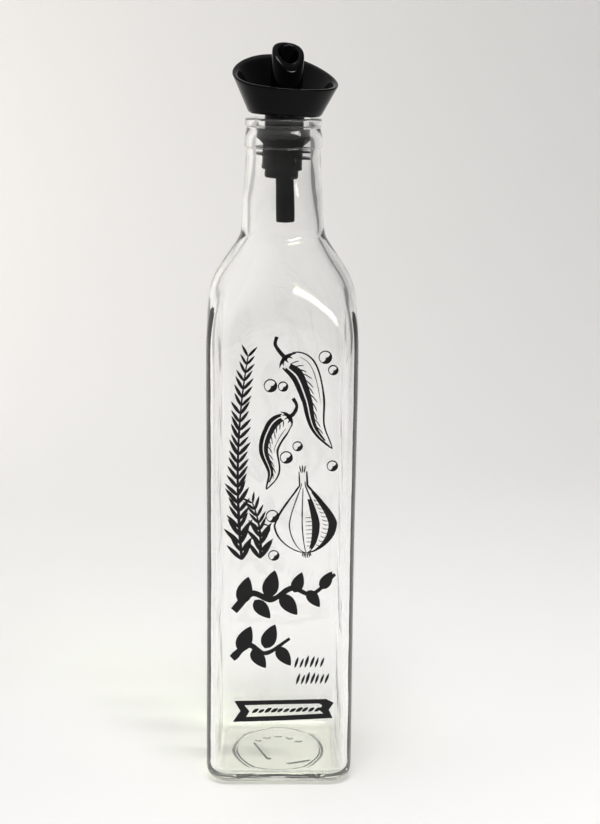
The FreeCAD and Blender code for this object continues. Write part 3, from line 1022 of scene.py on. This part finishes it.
def black_abs():
    """ABS, injection moulded in a polished tool: deep black with a high gloss."""
    material, tree, output = new_material("black_abs_moulding")
    coords = add_node(tree, "ShaderNodeTexCoord")
    # flow marks and sink of the moulding: about 6 mm long and very low
    flow = add_node(tree, "ShaderNodeTexNoise",
                    {"Vector": coords.outputs["Object"], "Scale": 1 / (6 * MM), "Detail": 2.0})
    # handling haze: specks of about 0.8 mm
    haze = add_node(tree, "ShaderNodeTexNoise",
                    {"Vector": coords.outputs["Object"], "Scale": 1 / (0.8 * MM), "Detail": 3.0})
    gloss = add_node(tree, "ShaderNodeMapRange",
                     {"Value": haze.outputs["Fac"], "From Min": 0.3, "From Max": 0.75,
                      "To Min": 0.06, "To Max": 0.13})
    shade = add_node(tree, "ShaderNodeMix",
                     {"Factor": flow.outputs["Fac"], "A": hex_colour("#030304"), "B": hex_colour("#050507")},
                     data_type="RGBA")
    bump = add_node(tree, "ShaderNodeBump",
                    {"Strength": 0.15, "Distance": 0.2 * MM, "Height": flow.outputs["Fac"]})
    # sharp but weak reflections, so that the black stays as deep as the real one's
    plastic = add_node(tree, "ShaderNodeBsdfPrincipled",
                       {"Base Color": shade.outputs["Result"], "Roughness": gloss.outputs["Result"],
                        "IOR": 1.53, "Specular IOR Level": 0.08, "Normal": bump.outputs["Normal"]})
    tree.links.new(plastic.outputs["BSDF"], output.inputs["Surface"])
    return material


# ================================================================ plug and tube

def on_tube_axis(points):
    """Upright points moved onto the tube's own axis."""
    shifted = np.asarray(points) + np.array((tube_offset, 0, 0))
    return tipped(shifted, tube_lean, tip_z, tube_offset)


def plug_outline():
    """The plug's outside, from its tip's edge up to the top, as (radius, height)."""
    band_low = plug_z - band_height
    core_low = plug_z - core_length
    socket_edge = tube_r + socket_bevel
    reach = bore_r + fin_reach - core_r
    rise = reach * tan(radians(fin_cup))
    corners = [(socket_edge, tip_z, 0), (tip_r, tip_z, 1.1), (tip_r, core_low, 0.25), (core_r, core_low, 0.5)]
    for depth in sorted(fin_depths, reverse=True):
        root = plug_z - depth
        edge = root + rise
        corners += [(core_r, root, 0.3), (core_r + reach, edge, 0.25),
                    (core_r + reach, edge + fin_thick * fin_edge, 0.25), (core_r, root + fin_thick, 0.3)]
    corners += [(core_r, band_low - band_cone, 0.4), (bore_r, band_low, 0.5), (bore_r, plug_z, 0.6),
                (socket_edge, plug_z, 0)]
    return softened(corners)


def plug_mesh():
    """The finned plug, squeezed to the round of the bore, with the tube's socket through it."""
    rings = []
    fin_low = plug_z - max(fin_depths) - 0.2
    fin_top = plug_z - min(fin_depths) + fin_thick + 1.5
    for radius, height in plug_outline():
        ring = round_ring(radius, height)
        if fin_low < height < fin_top and radius > core_r + 0.1:
            ring = tipped(ring, fin_tilt, (fin_low + fin_top) / 2)
        rings.append(tipped(ring, lean, lean_z))
    rings = np.array(rings)
    across = np.hypot(rings[:, :, 0], rings[:, :, 1])
    limit = np.minimum(1, (bore_r - plug_fit) / across)
    rings[:, :, 0] *= limit
    rings[:, :, 1] *= limit
    socket = [on_tube_axis(round_ring(tube_r + tube_fit, z)) for z in (plug_z - 0.1, tip_z + 0.1)]
    return skin(np.concatenate([rings, socket]))


def tube_mesh():
    """The tube, open from end to end."""
    inner = tube_r - tube_wall
    top = plug_z - tube_recess
    path = softened([
        (inner, top - tube_ends, 0), (inner, top, 0.2), (tube_r, top, 0.2), (tube_r, tip_z, 0),
        (tube_r, tube_z + tube_ends, 0), (tube_r, tube_z, 0.6), (inner, tube_z, 0.25),
        (inner, tube_z + tube_ends, 0)])
    return skin([on_tube_axis(round_ring(r, z)) for r, z in path])


def black_polythene():
    """Low-density polythene, moulded soft: black with a waxy satin skin."""
    material, tree, output = new_material("black_polythene")
    coords = add_node(tree, "ShaderNodeTexCoord")
    # drag marks from pushing in: about 1.2 mm
    scuffs = add_node(tree, "ShaderNodeTexNoise",
                      {"Vector": coords.outputs["Object"], "Scale": 1 / (1.2 * MM), "Detail": 3.0})
    gloss = add_node(tree, "ShaderNodeMapRange",
                     {"Value": scuffs.outputs["Fac"], "To Min": 0.18, "To Max": 0.3})
    bump = add_node(tree, "ShaderNodeBump",
                    {"Strength": 0.2, "Distance": 0.1 * MM, "Height": scuffs.outputs["Fac"]})
    # weak reflections here too, behind the glass
    plastic = add_node(tree, "ShaderNodeBsdfPrincipled",
                       {"Base Color": hex_colour("#040405"), "Roughness": gloss.outputs["Result"],
                        "IOR": 1.51, "Specular IOR Level": 0.08, "Normal": bump.outputs["Normal"]})
    tree.links.new(plastic.outputs["BSDF"], output.inputs["Surface"])
    return material


# ================================================================ camera, floor and light

def aim_camera():
    """A long lens a little above the bottle's lip, seen almost square to the front panel."""
    data = bpy.data.cameras.new("camera")
    data.lens = camera_lens
    data.sensor_width = camera_sensor
    camera = bpy.data.objects.new("camera", data)
    bpy.context.collection.objects.link(camera)
    pitch, yaw, roll = (radians(turn) for turn in (camera_pitch, camera_yaw, camera_roll))
    forward = Vector((sin(yaw) * cos(pitch), cos(yaw) * cos(pitch), -sin(pitch)))
    right = forward.cross(Vector((0, 0, 1))).normalized()
    up = right.cross(forward)
    tilted_right = cos(roll) * right + sin(roll) * up
    tilted_up = cos(roll) * up - sin(roll) * right
    basis = Matrix((tilted_right, tilted_up, -forward)).transposed()
    camera.matrix_world = Matrix.Translation(Vector(camera_place) * MM) @ basis.to_4x4()
    bpy.context.scene.camera = camera


def pale_paper():
    """Seamless studio paper: matt, nearly white."""
    material, tree, output = new_material("pale_paper")
    coords = add_node(tree, "ShaderNodeTexCoord")
    mottle = add_node(tree, "ShaderNodeTexNoise",
                      {"Vector": coords.outputs["Object"], "Scale": 3.0, "Detail": 2.0})
    tone = add_node(tree, "ShaderNodeMix",
                    {"Factor": mottle.outputs["Fac"], "A": hex_colour("#F3F2F1"), "B": hex_colour("#F6F5F4")},
                    data_type="RGBA")
    paper = add_node(tree, "ShaderNodeBsdfPrincipled",
                     {"Base Color": tone.outputs["Result"], "Roughness": 0.85})
    tree.links.new(paper.outputs["BSDF"], output.inputs["Surface"])
    return material


def lay_floor():
    """One sheet of paper: a wide floor, a long bend and a backdrop that is narrower than the floor."""
    path = [(-floor_front, 0, floor_half), (bend_start, 0, bend_half)]      # depth, height, half its width
    steps = 24
    for step, angle in enumerate(quarter_turn(steps)[1:], start=1):
        half = bend_half - (bend_half - wall_half) * step / steps
        path.append((bend_start + bend_r * sin(angle), bend_r * (1 - cos(angle)), half))
    path.append((bend_start + bend_r, wall_top, wall_half))
    points = [(x, y, z - foot_gap) for y, z, half in path for x in (-half, half)]
    faces = [(2 * i, 2 * i + 1, 2 * i + 3, 2 * i + 2) for i in range(len(path) - 1)]
    mesh = bpy.data.meshes.new("floor")
    mesh.from_pydata((np.array(points) * MM).tolist(), [], faces)
    mesh.polygons.foreach_set("use_smooth", [True] * len(faces))
    mesh.materials.append(pale_paper())
    floor = bpy.data.objects.new("floor", mesh)
    bpy.context.collection.objects.link(floor)


def soft_lamp(name, place, target, wide, tall, power, colour, turn=0, beam=180):
    """A rectangular soft light of some watts, turned about its aim and narrowed to a beam."""
    data = bpy.data.lights.new(name, "AREA")
    data.shape = "RECTANGLE"
    data.size = wide * MM
    data.size_y = tall * MM
    data.energy = power
    data.color = hex_colour(colour)[:3]
    data.spread = radians(beam)
    lamp = bpy.data.objects.new(name, data)
    lamp.location = Vector(place) * MM
    aim = (Vector(target) - Vector(place)).to_track_quat("-Z", "Y")
    lamp.rotation_euler = (aim @ Quaternion((0, 0, 1), radians(turn))).to_euler()
    bpy.context.collection.objects.link(lamp)
    return lamp


def light_room(bottle):
    """A dim room, brighter to the left, behind and overhead, and four soft window-like lights."""
    world = bpy.data.worlds.new("room")
    world.use_nodes = True
    tree = world.node_tree
    tree.nodes.clear()
    coords = add_node(tree, "ShaderNodeTexCoord")
    axes = add_node(tree, "ShaderNodeSeparateXYZ", {"Vector": coords.outputs["Generated"]})
    # the room's brightness from left to right, from level to overhead, and from behind to in front
    levels = []
    for axis, first, last, at_first, at_last in (("X", -0.7, 0.7, 0.56, 0.19), ("Z", 0.2, 0.9, 1.0, 2.0),
                                                 ("Y", -0.1, -0.8, 1.0, 0.3)):
        level = add_node(tree, "ShaderNodeMapRange",
                         {"Value": axes.outputs[axis], "From Min": first, "From Max": last,
                          "To Min": at_first, "To Max": at_last})
        levels.append(level.outputs["Result"])
    both = add_node(tree, "ShaderNodeMath", {0: levels[0], 1: levels[1]}, operation="MULTIPLY")
    level = add_node(tree, "ShaderNodeMath", {0: both.outputs[0], 1: levels[2]}, operation="MULTIPLY")
    sky = add_node(tree, "ShaderNodeBackground",
                   {"Color": hex_colour("#F4F4F4"), "Strength": level.outputs[0]})
    output = add_node(tree, "ShaderNodeOutputWorld")
    tree.links.new(sky.outputs["Background"], output.inputs["Surface"])
    bpy.context.scene.world = world

    right = soft_lamp("right_window", (430, -610, 640), (12, -27, 200), 540, 150, 2.2, "#FFFDF9",
                      turn=window_turn)
    bright = soft_lamp("right_window_sun", (425, -605, 640), (2, -6, 280), 300, 28, 1.8, "#FFFFFF",
                       turn=window_turn)
    soft_lamp("overhead_window", (20, -200, 900), (0, -120, 100), 300, 180, 2.8, "#FFFFFF")
    soft_lamp("left_window", (-760, 330, 480), (-160, 860, 160), 400, 500, 1.2, "#FFFBF2", beam=110)

    # the right window's light falls through the glass onto the paper under and behind it
    clear = bpy.data.collections.new("clear_to_the_window")
    clear.objects.link(bottle)
    clear.collection_objects[0].light_linking.link_state = "EXCLUDE"
    for window in (right, bright):
        window.light_linking.blocker_collection = clear


# ================================================================ the object

glass = soda_lime_glass()
head_plastic = black_abs()
soft_plastic = black_polythene()
bottle = finish_piece("glass_bottle", glass_mesh(), glass, node="bottle")
print_front()
finish_piece("pourer_head", pourer_mesh(), head_plastic, node="pourer")
finish_piece("finned_plug", plug_mesh(), soft_plastic, node="plug")
finish_piece("pourer_tube", tube_mesh(), soft_plastic, node="tube")

aim_camera()
lay_floor()
light_room(bottle)
bpy.context.scene.view_settings.view_transform = "Standard"
